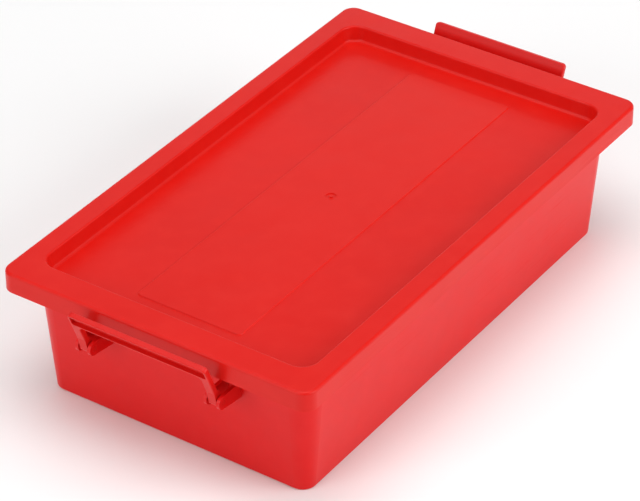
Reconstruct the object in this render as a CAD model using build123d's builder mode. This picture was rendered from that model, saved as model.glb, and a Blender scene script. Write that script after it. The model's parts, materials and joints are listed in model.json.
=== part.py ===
from build123d import *
from math import atan, cos, degrees, radians, sin, tan
import os

# Art supply box: a shallow moulded tub, a lift-off lid with a sunken panel, and
# two swing handles, one on each short end. All pieces are red polypropylene.
# X runs along the box, Y across it, +Z is up. The origin is at the middle of
# the underside of the tub. Millimetres.

# Overall sizes
lid_length = 336.0
lid_width = 200.0
box_height = 83.0

# Tub
tub_length = 297.0          # outside, at the underside
tub_width = 170.0
tub_corner_radius = 8.0     # outside, in plan, at the underside
tub_lean = 5.7              # each wall leans out by this much ...
tub_lean_height = 71.0      # ... over this height
tub_wall = 2.2
tub_floor = 2.4
tub_foot_radius = 1.6
tub_inside_radius = 3.0
foot_panel_inset = 16.0     # shallow relief under the floor, inside a foot ring
foot_panel_depth = 0.6

# Lid
lid_skirt_depth = 12.0
lid_wall = 2.0
lid_corner_radius = 8.0
lid_edge_radius = 1.8
recess_rim_long = 18.0      # width of the rim at the short ends
recess_rim_side = 13.0      # width of the rim along the long sides
recess_corner_radius = 10.0
recess_depth = 9.5
recess_lean = 1.4
recess_edge_radius = 1.2
recess_foot_radius = 1.8
band_length = 270.0         # raised band along the middle of the sunken panel
band_width = 68.0
band_height = 0.6
band_corner_radius = 3.0
band_edge_angle = 45.0
gate_ring_radius = 3.2      # small sunken ring with the moulding gate's stub in it
gate_ring_depth = 0.4
gate_stub_radius = 1.1
gate_stub_height = 0.25

# Rim of the tub, hidden under the lid
rim_gap = 0.6               # free play between the tub's rim and the lid's skirt
rim_thickness = 2.0
rim_lip_depth = 7.0

# Handles
pivot_x = 168.3
pivot_z = 57.0
handle_tilt = 22.3          # from upright, leaning out, as it stands when raised
handle_width = 89.0
handle_reach = 29.0         # from the pivot line to the top edge of the grip
handle_thickness = 3.2
grip_height = 8.8
channel_depth = 2.1         # the grip is hollow on its outer side
channel_lip = 1.2           # wall left above, below and at the ends of the hollow
channel_corner_radius = 1.0
arm_width = 5.2
shoulder_radius = 2.2
opening_radius = 3.0
hub_radius = 2.9
arm_taper_reach = 8.0
handle_edge_radius = 0.6
arm_end_margin = 1.0        # the straps' edges are rounded from here up
pin_radius = 1.7

# Brackets that carry the handles, moulded on the tub's end walls
pin_clearance = 0.08
ear_gap = 0.5
ear_thickness = 2.0
ear_nose_radius = 4.0
ear_nose_arc = 172.0        # degrees, from the top of the nose round to the slanted edge
ear_bottom_z = 50.6
ear_root_x = 151.0

os.makedirs("parts", exist_ok=True)


def level_faces(piece, height):
    """The flat level faces of a piece at this height."""
    near_enough = 0.01
    return piece.faces().filter_by(Plane.XY).filter_by(
        lambda face: abs(face.center().Z - height) < near_enough
    )


lean_angle = degrees(atan(tub_lean / tub_lean_height))
rim_top_z = box_height - lid_wall
lid_skirt_z = box_height - lid_skirt_depth
arm_centre_y = (handle_width - arm_width) / 2
ear_centre_offset = arm_width / 2 + ear_gap + ear_thickness / 2
pin_length = 2 * (ear_centre_offset + ear_thickness / 2)

# ---------------------------------------------------------------- tub
wall_lean_per_mm = tan(radians(lean_angle))
inside_length = tub_length - 2 * (tub_wall - wall_lean_per_mm * tub_floor)
inside_width = tub_width - 2 * (tub_wall - wall_lean_per_mm * tub_floor)
rim_length = lid_length - 2 * (lid_wall + rim_gap)
rim_width = lid_width - 2 * (lid_wall + rim_gap)
rim_corner_radius = lid_corner_radius - lid_wall - rim_gap
ear_top_z = pivot_z + ear_nose_radius

with BuildPart() as tub:
    # outside of the walls, leaning out from the underside to the rim
    with BuildSketch():
        RectangleRounded(tub_length, tub_width, tub_corner_radius)
    extrude(amount=rim_top_z, taper=-lean_angle)
    fillet(tub.faces().sort_by(Axis.Z)[0].edges(), radius=tub_foot_radius)

    # ears that hold the handle pins, a pair for each arm
    for end in (-1, 1):
        for side in (-1, 1):
            for edge in (-1, 1):
                ear_y = side * arm_centre_y + edge * ear_centre_offset
                with BuildSketch(Plane((0, ear_y, 0), x_dir=(1, 0, 0), z_dir=(0, -1, 0))):
                    with BuildLine():
                        nose = CenterArc(
                            (end * pivot_x, pivot_z), ear_nose_radius, 90, -end * ear_nose_arc
                        )
                        Polyline(
                            nose @ 0,
                            (end * ear_root_x, ear_top_z),
                            (end * ear_root_x, ear_bottom_z),
                            nose @ 1,
                        )
                    make_face()
                extrude(amount=ear_thickness / 2, both=True)

    # flat rim with a turned-down lip, under the lid
    with BuildSketch(Plane.XY.offset(rim_top_z - rim_lip_depth)):
        RectangleRounded(rim_length, rim_width, rim_corner_radius)
        RectangleRounded(
            rim_length - 2 * rim_thickness, rim_width - 2 * rim_thickness,
            rim_corner_radius - rim_thickness, mode=Mode.SUBTRACT,
        )
    extrude(amount=rim_lip_depth)
    with BuildSketch(Plane.XY.offset(rim_top_z - rim_thickness)):
        RectangleRounded(rim_length, rim_width, rim_corner_radius)
    extrude(amount=rim_thickness)

    # inside of the tub
    with BuildSketch(Plane.XY.offset(tub_floor)):
        RectangleRounded(inside_length, inside_width, tub_corner_radius - tub_wall)
    extrude(amount=rim_top_z - tub_floor, taper=-lean_angle, mode=Mode.SUBTRACT)
    fillet(level_faces(tub, tub_floor).edges(), radius=tub_inside_radius)

    # relief under the floor, so that the tub stands on a ring
    with BuildSketch():
        RectangleRounded(
            tub_length - 2 * foot_panel_inset, tub_width - 2 * foot_panel_inset,
            tub_corner_radius,
        )
    extrude(amount=foot_panel_depth, mode=Mode.SUBTRACT)

    # moulding gate mark in the middle of the relief
    with BuildSketch(Plane.XY.offset(foot_panel_depth)):
        Circle(gate_ring_radius)
    extrude(amount=gate_ring_depth, mode=Mode.SUBTRACT)
    with BuildSketch(Plane.XY.offset(foot_panel_depth + gate_ring_depth)):
        Circle(gate_stub_radius)
    extrude(amount=-(gate_ring_depth + gate_stub_height))

    # holes for the pins, right through each pair of ears
    for end in (-1, 1):
        for side in (-1, 1):
            with BuildSketch(
                Plane((end * pivot_x, side * arm_centre_y, pivot_z), x_dir=(1, 0, 0), z_dir=(0, -1, 0))
            ):
                Circle(pin_radius + pin_clearance)
            extrude(amount=pin_length, both=True, mode=Mode.SUBTRACT)
tub.part.label = "tub"
export_step(tub.part, "parts/tub.step")

# ---------------------------------------------------------------- lid
recess_length = lid_length - 2 * recess_rim_long
recess_width = lid_width - 2 * recess_rim_side
panel_z = box_height - recess_depth
recess_angle = degrees(atan(recess_lean / recess_depth))

with BuildPart() as lid:
    # outer shape: rim and skirt
    with BuildSketch(Plane.XY.offset(lid_skirt_z)):
        RectangleRounded(lid_length, lid_width, lid_corner_radius)
    extrude(amount=lid_skirt_depth)
    fillet(lid.faces().sort_by(Axis.Z)[-1].edges(), radius=lid_edge_radius)
    # hollow underside
    with BuildSketch(Plane.XY.offset(lid_skirt_z)):
        RectangleRounded(
            lid_length - 2 * lid_wall, lid_width - 2 * lid_wall, lid_corner_radius - lid_wall
        )
    extrude(amount=lid_skirt_depth - lid_wall, mode=Mode.SUBTRACT)
    # the sunken panel's tray, from the rim down
    with BuildSketch(Plane.XY.offset(box_height - lid_wall)):
        RectangleRounded(
            recess_length + 2 * lid_wall, recess_width + 2 * lid_wall, recess_corner_radius + lid_wall
        )
    extrude(amount=-recess_depth, taper=recess_angle)
    with BuildSketch(Plane.XY.offset(box_height)):
        RectangleRounded(recess_length, recess_width, recess_corner_radius)
    extrude(amount=-recess_depth, taper=recess_angle, mode=Mode.SUBTRACT)
    # soft edges round the sunken panel
    rim_face = level_faces(lid, box_height)[0]
    fillet(rim_face.inner_wires()[0].edges(), radius=recess_edge_radius)
    fillet(level_faces(lid, panel_z).edges(), radius=recess_foot_radius)
    # raised band along the middle of the panel
    with BuildSketch(Plane.XY.offset(panel_z)):
        RectangleRounded(band_length, band_width, band_corner_radius)
    extrude(amount=band_height, taper=band_edge_angle)
    # moulding gate mark at the centre
    with BuildSketch(Plane.XY.offset(panel_z + band_height)):
        Circle(gate_ring_radius)
    extrude(amount=-gate_ring_depth, mode=Mode.SUBTRACT)
    with BuildSketch(Plane.XY.offset(panel_z + band_height - gate_ring_depth)):
        Circle(gate_stub_radius)
    extrude(amount=gate_ring_depth + gate_stub_height)
lid.part.label = "lid"
export_step(lid.part, "parts/lid.step")

# ---------------------------------------------------------------- handles
tilt_sin = sin(radians(handle_tilt))
tilt_cos = cos(radians(handle_tilt))

for end, name in ((-1, "handle_near"), (1, "handle_far")):
    pivot = Vector(end * pivot_x, 0, pivot_z)
    up = Vector(end * tilt_sin, 0, tilt_cos)
    out = Vector(end * tilt_cos, 0, -tilt_sin)
    handle_plane = Plane(pivot, x_dir=(0, end, 0), z_dir=out)
    with BuildPart() as handle:
        # flat bent strap: two arms and the grip between them
        with BuildSketch(handle_plane):
            with BuildLine():
                outline = FilletPolyline(
                    (-handle_width / 2, 0),
                    (-handle_width / 2, handle_reach),
                    (handle_width / 2, handle_reach),
                    (handle_width / 2, 0),
                    radius=shoulder_radius,
                )
                inner = FilletPolyline(
                    (handle_width / 2 - arm_width, 0),
                    (handle_width / 2 - arm_width, handle_reach - grip_height),
                    (arm_width - handle_width / 2, handle_reach - grip_height),
                    (arm_width - handle_width / 2, 0),
                    radius=opening_radius,
                )
                Line(outline @ 1, inner @ 0)
                Line(inner @ 1, outline @ 0)
            make_face()
        extrude(amount=handle_thickness / 2, both=True)
        long_edges = handle.edges().filter_by(
            lambda edge: edge.center().sub(pivot).dot(up) > arm_end_margin
        )
        fillet(long_edges, radius=handle_edge_radius)
        # the grip's hollow outer side
        channel_height = grip_height - 2 * channel_lip
        channel_plane = Plane(
            pivot + out * (handle_thickness / 2) + up * (handle_reach - grip_height / 2),
            x_dir=(0, end, 0), z_dir=out,
        )
        with BuildSketch(channel_plane):
            RectangleRounded(
                handle_width - 2 * channel_lip, channel_height, channel_corner_radius
            )
        extrude(amount=-channel_depth, mode=Mode.SUBTRACT)
        # arms thicken towards the hubs, with pins on both sides
        for side in (-1, 1):
            arm_plane = Plane(pivot + Vector(0, side * arm_centre_y, 0), x_dir=out, z_dir=(0, -end, 0))
            with BuildSketch(arm_plane):
                Circle(hub_radius)
                with BuildLine():
                    Polyline(
                        (-hub_radius, 0),
                        (-handle_thickness / 2, arm_taper_reach),
                        (handle_thickness / 2, arm_taper_reach),
                        (hub_radius, 0),
                        close=True,
                    )
                make_face()
            extrude(amount=arm_width / 2, both=True)
            with BuildSketch(arm_plane):
                Circle(pin_radius)
            extrude(amount=pin_length / 2, both=True)
    handle.part.label = name
    export_step(handle.part, f"parts/{name}.step")
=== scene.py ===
import json
import math

import bpy
from mathutils import Matrix, Vector

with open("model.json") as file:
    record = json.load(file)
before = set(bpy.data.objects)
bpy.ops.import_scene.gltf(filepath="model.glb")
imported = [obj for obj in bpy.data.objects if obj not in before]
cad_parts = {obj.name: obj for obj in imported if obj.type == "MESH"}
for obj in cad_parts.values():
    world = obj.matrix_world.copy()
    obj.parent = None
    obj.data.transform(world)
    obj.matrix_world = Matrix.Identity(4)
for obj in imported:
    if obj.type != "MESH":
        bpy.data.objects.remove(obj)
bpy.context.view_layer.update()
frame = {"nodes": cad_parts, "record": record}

nodes = frame["nodes"]

# Art supply box in red moulded polypropylene. The CAD solids keep their shapes;
# this script gives them their plastics, and adds the studio and the camera.
# Metres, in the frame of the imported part.

# ---------------------------------------------------------------- camera
CAMERA_AZIMUTH = math.radians(-55.54)
CAMERA_ELEVATION = math.radians(34.78)
CAMERA_ROLL = math.radians(-0.34)
CAMERA_DISTANCE = 1.7927
CAMERA_AIM = Vector((-0.0084, 0.0019, 0.0415))
CAMERA_LENS = 180.2
SENSOR_WIDTH = 36.0
CLIP_START = 0.05
CLIP_END = 30.0

# ---------------------------------------------------------------- studio
FLOOR_HALF = 6.0
FLOOR_WHITE = 0.95
FLOOR_ROUGHNESS = 0.9
FLOOR_SHINE = 0.1
WORLD_STRENGTH = 0.285
LIGHT_AIM = Vector((0, 0, 0.04))
# name: position, size, power in watts
SOFTBOXES = {
    "key": ((0.35, -1.8, 0.95), (1.5, 1.2), 24.0),
    "top": ((-0.1, 0.1, 2.1), (1.8, 1.8), 26.0),
    "fill": ((-1.9, 0.5, 0.9), (1.3, 1.1), 15.0),
    "back": ((1.8, 1.25, 0.85), (1.3, 0.6), 3.0),
}


def make_camera():
    """A long lens from the near left, high up."""
    back = Vector((
        math.sin(CAMERA_AZIMUTH) * math.cos(CAMERA_ELEVATION),
        -math.cos(CAMERA_AZIMUTH) * math.cos(CAMERA_ELEVATION),
        math.sin(CAMERA_ELEVATION),
    ))
    right = Vector((0, 0, 1)).cross(back).normalized()
    up = back.cross(right)
    tilted_right = math.cos(CAMERA_ROLL) * right + math.sin(CAMERA_ROLL) * up
    tilted_up = math.cos(CAMERA_ROLL) * up - math.sin(CAMERA_ROLL) * right
    place = Matrix((tilted_right, tilted_up, back)).transposed().to_4x4()
    place.translation = CAMERA_AIM + back * CAMERA_DISTANCE
    data = bpy.data.cameras.new("camera")
    data.lens = CAMERA_LENS
    data.sensor_width = SENSOR_WIDTH
    data.sensor_fit = "HORIZONTAL"
    data.clip_start = CLIP_START
    data.clip_end = CLIP_END
    camera = bpy.data.objects.new("camera", data)
    camera.matrix_world = place
    bpy.context.scene.collection.objects.link(camera)
    bpy.context.scene.camera = camera


def make_softbox(name, position, size, power):
    data = bpy.data.lights.new(name, "AREA")
    data.shape = "RECTANGLE"
    data.size, data.size_y = size
    data.energy = power
    light = bpy.data.objects.new(name, data)
    light.location = position
    aim = LIGHT_AIM - Vector(position)
    light.rotation_euler = aim.to_track_quat("-Z", "Y").to_euler()
    bpy.context.scene.collection.objects.link(light)


def make_studio():
    """A white table top, an even white surround and soft boxes."""
    mesh = bpy.data.meshes.new("floor")
    corners = [
        (-FLOOR_HALF, -FLOOR_HALF, 0), (FLOOR_HALF, -FLOOR_HALF, 0),
        (FLOOR_HALF, FLOOR_HALF, 0), (-FLOOR_HALF, FLOOR_HALF, 0),
    ]
    mesh.from_pydata(corners, [], [(0, 1, 2, 3)])
    floor = bpy.data.objects.new("floor", mesh)
    bpy.context.scene.collection.objects.link(floor)
    material = bpy.data.materials.new("floor_paper")
    material.use_nodes = True
    shader = material.node_tree.nodes["Principled BSDF"]
    shader.inputs["Base Color"].default_value = (FLOOR_WHITE, FLOOR_WHITE, FLOOR_WHITE, 1)
    shader.inputs["Roughness"].default_value = FLOOR_ROUGHNESS
    shader.inputs["Specular IOR Level"].default_value = FLOOR_SHINE
    mesh.materials.append(material)

    world = bpy.data.worlds.new("studio")
    world.use_nodes = True
    background = world.node_tree.nodes["Background"]
    background.inputs["Color"].default_value = (1, 1, 1, 1)
    background.inputs["Strength"].default_value = WORLD_STRENGTH
    bpy.context.scene.world = world
    bpy.context.scene.view_settings.view_transform = "Standard"
    for name, (position, size, power) in SOFTBOXES.items():
        make_softbox(name, position, size, power)


# ---------------------------------------------------------------- plastics
TUB_RED = (0.730, 0.0068, 0.0064)
LID_RED = (0.700, 0.0082, 0.0044)
HANDLE_RED = (0.680, 0.0080, 0.0060)
DEEP_TONE = 0.95            # of the base colour, all channels
PALE_RED = 1.04             # of the base colour's red ...
PALE_OTHER = 1.9            # ... and of its green and blue
GLOSS_BELOW = 0.035         # smudges take the roughness this far below ...
GLOSS_ABOVE = 0.045         # ... and above its middle value
EDGE_RADIUS = 0.0011
IOR = 1.31
SPECULAR_LEVEL = 0.5
GLOW_WEIGHT = 0.12          # light that soaks into the plastic
GLOW_RADIUS = (1.0, 0.12, 0.08)
GLOW_SCALE = 0.003
BAND_SHEEN_NEAR_X = -0.12         # painted sheen on the band grows from here ...
BAND_SHEEN_FAR_X = 0.12           # ... to here
BAND_FOOT = 0.0001          # above the sunken panel
BAND_TOP = 0.0005


class Tree:
    """Adds nodes to a material and joins them up."""

    def __init__(self, material):
        self.tree = material.node_tree
        self.shader = self.tree.nodes["Principled BSDF"]

    def add(self, kind, inputs=None, **settings):
        node = self.tree.nodes.new(kind)
        for name, value in settings.items():
            setattr(node, name, value)
        for name, value in (inputs or {}).items():
            if isinstance(value, bpy.types.NodeSocket):
                self.tree.links.new(value, node.inputs[name])
            else:
                node.inputs[name].default_value = value
        return node

    def noise(self, place, scale, detail=2.0, roughness=0.5):
        made = self.add(
            "ShaderNodeTexNoise",
            {"Vector": place, "Scale": scale, "Detail": detail, "Roughness": roughness},
        )
        return made.outputs["Fac"]

    def math(self, operation, first, second, clamp=False):
        made = self.add("ShaderNodeMath", {0: first, 1: second}, operation=operation)
        made.use_clamp = clamp
        return made.outputs[0]

    def ramp(self, value, low, high, low_out=0.0, high_out=1.0):
        made = self.add(
            "ShaderNodeMapRange",
            {"Value": value, "From Min": low, "From Max": high, "To Min": low_out, "To Max": high_out},
        )
        made.clamp = True
        return made.outputs["Result"]

    def stretched(self, place, scale):
        made = self.add("ShaderNodeMapping", {"Vector": place, "Scale": scale})
        return made.outputs["Vector"]

    def tint(self, amount, first, second):
        made = self.add("ShaderNodeMix", {0: amount}, data_type="RGBA")
        for socket, value in ((made.inputs[6], first), (made.inputs[7], second)):
            if isinstance(value, bpy.types.NodeSocket):
                self.tree.links.new(value, socket)
            else:
                socket.default_value = (*value, 1)
        return made.outputs[2]

    def bump(self, height, strength, distance, under=None):
        inputs = {"Height": height, "Strength": strength, "Distance": distance}
        if under is not None:
            inputs["Normal"] = under
        return self.add("ShaderNodeBump", inputs).outputs["Normal"]


def red_plastic(name, base, deep, pale, grain, gloss, band=None):
    """Semi-gloss red polypropylene.

    Clouds of slightly deeper and paler red, a fine moulded grain over a slow ripple in the surface,
    edges rubbed paler by wear with a painted highlight, a band paler in its own finish with a painted
    sheen towards the far end, and hairline scuffs that run lengthwise.
    """
    material = bpy.data.materials.new(name)
    material.use_nodes = True
    t = Tree(material)
    place = t.add("ShaderNodeTexCoord").outputs["Object"]

    # colour: flow clouds, then finer mottling
    clouds = t.ramp(t.noise(place, 11.0, 3.0, 0.55), 0.35, 0.65)
    colour = t.tint(clouds, deep, base)
    mottle = t.ramp(t.noise(place, 95.0, 2.0, 0.5), 0.45, 0.75, 0.0, 0.35)
    colour = t.tint(mottle, colour, pale)

    # a raised band is paler in its own finish; a painted sheen makes it paler still towards the far
    # end
    if band is not None:
        low, high, near_x, far_x = band
        height = t.add("ShaderNodeSeparateXYZ", {"Vector": place})
        above = t.ramp(height.outputs["Z"], low, high)
        below_rim = t.ramp(height.outputs["Z"], high + 0.0006, high + 0.0004)
        # painted sheen: the band's paleness grows from near end to far end
        sheen_towards_far = t.ramp(height.outputs["X"], near_x, far_x, 0.10, 0.42)
        band_finish_and_sheen = t.math("MULTIPLY", t.math("MULTIPLY", above, below_rim), sheen_towards_far)
        colour = t.tint(band_finish_and_sheen, colour, pale)

    # edges rubbed paler by wear, with a painted highlight along them
    rounded = t.add("ShaderNodeBevel", {"Radius": EDGE_RADIUS}, samples=4)
    flat = t.add("ShaderNodeNewGeometry")
    alike = t.add(
        "ShaderNodeVectorMath",
        {0: rounded.outputs["Normal"], 1: flat.outputs["Normal"]},
        operation="DOT_PRODUCT",
    ).outputs["Value"]
    edge = t.ramp(alike, 0.995, 0.88)
    edge_wear_and_highlight = t.math("MULTIPLY", edge, t.ramp(t.noise(place, 60.0, 4.0, 0.6), 0.42, 0.62, 0.15, 0.8))
    colour = t.tint(edge_wear_and_highlight, colour, pale)

    # hairline scuffs, lengthwise, where a stretched noise crosses its middle value
    lines = t.noise(t.stretched(place, (9.0, 420.0, 420.0)), 1.0, 1.0, 0.4)
    from_middle = t.math("ABSOLUTE", t.math("SUBTRACT", lines, 0.5), 0.0)
    where = t.ramp(t.noise(place, 14.0, 2.0, 0.5), 0.52, 0.68)
    scuffs = t.math("MULTIPLY", t.ramp(from_middle, 0.022, 0.006), where)

    patches = t.noise(place, 24.0, 4.0, 0.6)
    smudges = t.ramp(patches, 0.3, 0.7, gloss - GLOSS_BELOW, gloss + GLOSS_ABOVE)
    roughness = t.math("ADD", smudges, t.math("MULTIPLY", scuffs, 0.12))
    roughness = t.math("ADD", roughness, t.math("MULTIPLY", edge_wear_and_highlight, 0.10), clamp=True)

    ripple = t.noise(place, 42.0, 1.0, 0.4)
    normal = t.bump(ripple, 0.18, 0.0012)
    fine = t.noise(place, 1500.0, 2.0, 0.5)
    normal = t.bump(fine, grain, 0.00012, normal)

    links = t.tree.links
    links.new(colour, t.shader.inputs["Base Color"])
    links.new(roughness, t.shader.inputs["Roughness"])
    links.new(normal, t.shader.inputs["Normal"])
    t.shader.inputs["IOR"].default_value = IOR
    t.shader.inputs["Specular IOR Level"].default_value = SPECULAR_LEVEL
    t.shader.inputs["Subsurface Weight"].default_value = GLOW_WEIGHT
    t.shader.inputs["Subsurface Radius"].default_value = GLOW_RADIUS
    t.shader.inputs["Subsurface Scale"].default_value = GLOW_SCALE
    return material


def dress(node, material):
    for slot in nodes[node].material_slots:
        slot.material = material


make_camera()
make_studio()


def frame_panel_z():
    """Height of the lid's sunken panel: its mount in the record."""
    for mount in frame["record"]["mounts"]:
        if mount["name"] == "lid_panel":
            return mount["pos_m"][2]
    raise KeyError("lid_panel")


def shades(base):
    """A deeper and a paler tone of a red."""
    deep = tuple(DEEP_TONE * channel for channel in base)
    pale = (min(1.0, base[0] * PALE_RED), base[1] * PALE_OTHER, base[2] * PALE_OTHER)
    return deep, pale


dress("tub", red_plastic("tub_red", TUB_RED, *shades(TUB_RED), grain=0.10, gloss=0.32))
panel_z = frame_panel_z()
band = (panel_z + BAND_FOOT, panel_z + BAND_TOP, BAND_SHEEN_NEAR_X, BAND_SHEEN_FAR_X)
dress("lid", red_plastic("lid_red", LID_RED, *shades(LID_RED), grain=0.22, gloss=0.34, band=band))
handle_material = red_plastic("handle_red", HANDLE_RED, *shades(HANDLE_RED), grain=0.08, gloss=0.32)
dress("handle_near", handle_material)
dress("handle_far", handle_material)
